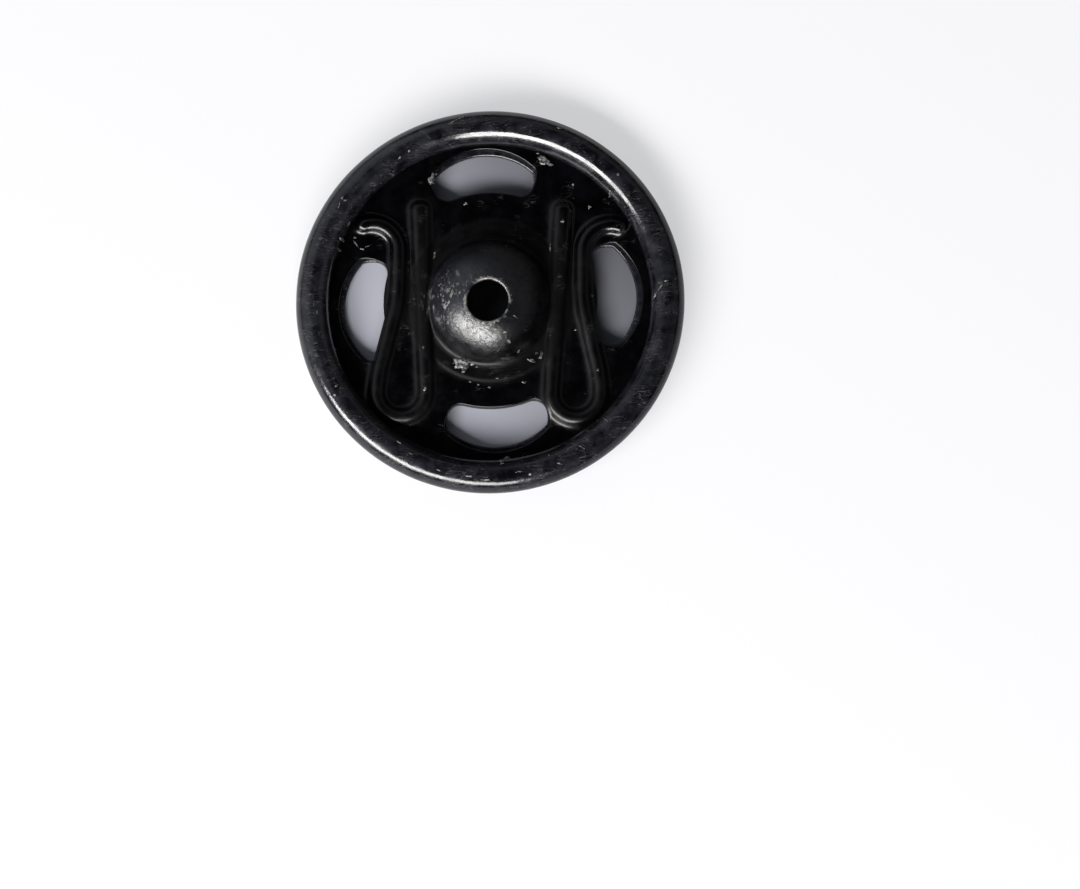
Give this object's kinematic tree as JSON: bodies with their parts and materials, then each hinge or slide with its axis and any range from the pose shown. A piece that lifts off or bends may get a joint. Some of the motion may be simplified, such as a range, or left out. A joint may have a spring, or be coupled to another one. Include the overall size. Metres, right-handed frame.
{
  "type": "snap fastener",
  "caption": "Round sew-on snap fastener socket with curled rim, domed back, kidney sewing holes and a pair of wire springs that grip the ball of the other half.",
  "frame": {"origin": "middle of the front face, which the part lies on", "axes": "+Z through the dome, away from the front face; the sewing holes lie on X and Y, and the U-turns of the springs point to -Y"},
  "size_m": [0.015, 0.015, 0.002],
  "materials": {
    "cap_lacquer": "black lacquer, scuffed to a satin on the rim",
    "plate_lacquer": "glossy black lacquer, chipped on the dome",
    "spring_wire": "drawn spring wire"
  },
  "bodies": {
    "housing": {"socket_cap": "cap_lacquer", "back_plate": "plate_lacquer"},
    "left_wire": {"left_spring": "spring_wire"},
    "right_wire": {"right_spring": "spring_wire"}
  },
  "joints": [
    {"name": "left_spring_flex", "type": "hinge", "parent": "housing", "child": "left_wire", "pos_m": [-0.00361, -0.00333, 0.00042], "axis": [0, 0, 1], "range_deg": [0, 1.2], "stiffness_Nm_per_rad": 0.002, "deforming": ["left_spring"]},
    {"name": "right_spring_flex", "type": "hinge", "parent": "housing", "child": "right_wire", "pos_m": [0.0031, -0.00381, 0.00042], "axis": [0, 0, -1], "range_deg": [0, 1.2], "stiffness_Nm_per_rad": 0.002, "deforming": ["right_spring"]}
  ]
}
